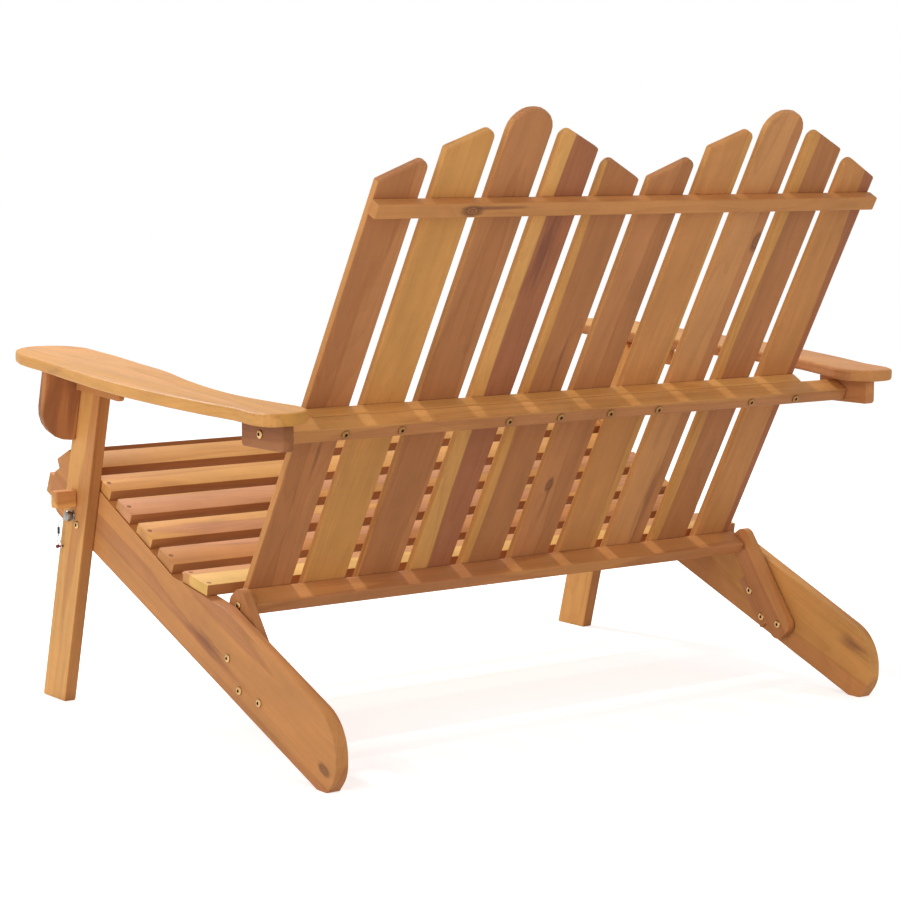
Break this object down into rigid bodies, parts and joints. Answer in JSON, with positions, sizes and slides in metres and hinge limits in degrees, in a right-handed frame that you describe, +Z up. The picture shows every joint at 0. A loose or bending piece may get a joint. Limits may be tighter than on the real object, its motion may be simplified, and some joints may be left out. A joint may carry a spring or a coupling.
{
  "type": "adirondack loveseat",
  "caption": "Folding slatted garden bench in oiled wood with a raked seat, a fanned high back, wide curved arms and side pins that lock its front legs.",
  "frame": {"origin": "centre of the bounding box at floor level", "axes": "+X along the bench to the sitter's left, +Y from the seat's front edge to its back, +Z up"},
  "size_m": [1.251, 0.8826, 0.9102],
  "materials": {
    "oiled_wood_honey": "oiled, satin",
    "oiled_wood_amber": "oiled, satin",
    "oiled_wood_brown": "oiled, satin",
    "brass": "polished",
    "steel": "bright",
    "coated_cable": "clear coat over wire",
    "ferrule": "black",
    "lanyard_screw": "dark red-brown lacquer"
  },
  "bodies": {
    "seat_frame": {"left_side_rail": "oiled_wood_honey", "right_side_rail": "oiled_wood_brown", "seat_slat_1": "oiled_wood_amber", "seat_slat_2": "oiled_wood_amber", "seat_slat_3": "oiled_wood_honey", "seat_slat_4": "oiled_wood_brown", "seat_slat_5": "oiled_wood_brown", "seat_slat_6": "oiled_wood_amber", "seat_slat_7": "oiled_wood_honey", "front_apron": "oiled_wood_honey", "left_stop_batten": "oiled_wood_brown", "right_stop_batten": "oiled_wood_amber", "left_leg_pivot_bolt": "brass", "right_leg_pivot_bolt": "brass", "left_brace_pivot_bolt": "brass", "right_brace_pivot_bolt": "brass"},
    "left_brace": {"left_brace": "oiled_wood_amber"},
    "right_brace": {"right_brace": "oiled_wood_honey"},
    "back": {"back_slat_1": "oiled_wood_honey", "back_slat_2": "oiled_wood_brown", "back_slat_3": "oiled_wood_amber", "back_slat_4": "oiled_wood_amber", "back_slat_5": "oiled_wood_honey", "back_slat_6": "oiled_wood_brown", "back_slat_7": "oiled_wood_brown", "back_slat_8": "oiled_wood_amber", "back_slat_9": "oiled_wood_honey", "back_slat_10": "oiled_wood_honey", "top_lath": "oiled_wood_brown", "mid_batten": "oiled_wood_amber", "mid_rail": "oiled_wood_amber", "bottom_rail": "oiled_wood_honey", "left_back_pivot_bolt": "brass", "right_back_pivot_bolt": "brass"},
    "left_front_leg": {"left_front_leg": "oiled_wood_amber", "left_stop_block": "oiled_wood_honey", "left_arm_hinge_bolt": "brass", "left_lanyard": "coated_cable", "left_lanyard_loop": "coated_cable", "left_lanyard_ferrule": "ferrule", "left_lanyard_screw": "lanyard_screw"},
    "left_lock_pin": {"left_lock_pin": "steel"},
    "left_arm": {"left_arm": "oiled_wood_brown", "left_arm_bracket": "oiled_wood_amber", "left_arm_cleat": "oiled_wood_honey", "left_arm_block": "oiled_wood_honey", "left_arm_pivot_bolt": "brass"},
    "right_front_leg": {"right_front_leg": "oiled_wood_amber", "right_stop_block": "oiled_wood_amber", "right_arm_hinge_bolt": "brass", "right_lanyard": "coated_cable", "right_lanyard_loop": "coated_cable", "right_lanyard_ferrule": "ferrule", "right_lanyard_screw": "lanyard_screw"},
    "right_lock_pin": {"right_lock_pin": "steel"},
    "right_arm": {"right_arm": "oiled_wood_brown", "right_arm_bracket": "oiled_wood_amber", "right_arm_cleat": "oiled_wood_amber", "right_arm_block": "oiled_wood_honey", "right_arm_pivot_bolt": "brass"}
  },
  "joints": [
    {"name": "back_fold", "type": "hinge", "parent": "left_brace", "child": "back", "pos_m": [0, 0.08743, 0.21341], "axis": [1, 0, 0], "range_deg": [0, 75]},
    {"name": "left_brace_pivot", "type": "hinge", "parent": "seat_frame", "child": "left_brace", "pos_m": [0.4768, 0.1766, 0.0923], "axis": [1, 0, 0], "range_deg": [-20.02, 0]},
    {"name": "left_leg_pivot", "type": "hinge", "parent": "seat_frame", "child": "left_front_leg", "pos_m": [0.52, -0.31121, 0.2843], "axis": [1, 0, 0], "range_deg": [0, 63.82]},
    {"name": "left_arm_hinge", "type": "hinge", "parent": "left_front_leg", "child": "left_arm", "pos_m": [0.5303, -0.2649, 0.5027], "axis": [1, 0, 0], "range_deg": [-49.36, 0]},
    {"name": "left_pin_pull", "type": "slide", "parent": "left_front_leg", "child": "left_lock_pin", "axis": [1, 0, 0], "range_m": [0, 0.024]},
    {"name": "right_brace_pivot", "type": "hinge", "parent": "seat_frame", "child": "right_brace", "pos_m": [-0.4768, 0.1766, 0.0923], "axis": [1, 0, 0], "range_deg": [-20.02, 0]},
    {"name": "right_leg_pivot", "type": "hinge", "parent": "seat_frame", "child": "right_front_leg", "pos_m": [-0.52, -0.31121, 0.2843], "axis": [1, 0, 0], "range_deg": [0, 63.82]},
    {"name": "right_arm_hinge", "type": "hinge", "parent": "right_front_leg", "child": "right_arm", "pos_m": [-0.5303, -0.2649, 0.5027], "axis": [1, 0, 0], "range_deg": [-49.36, 0]},
    {"name": "right_pin_pull", "type": "slide", "parent": "right_front_leg", "child": "right_lock_pin", "axis": [-1, 0, 0], "range_m": [0, 0.024]}
  ],
  "couplings": [
    {"joint": "left_brace_pivot", "follows": "back_fold", "ratio": -0.2666},
    {"joint": "left_leg_pivot", "follows": "back_fold", "ratio": 0.8507},
    {"joint": "left_arm_hinge", "follows": "back_fold", "ratio": -0.6578},
    {"joint": "right_brace_pivot", "follows": "back_fold", "ratio": -0.2666},
    {"joint": "right_leg_pivot", "follows": "back_fold", "ratio": 0.8507},
    {"joint": "right_arm_hinge", "follows": "back_fold", "ratio": -0.6578}
  ]
}
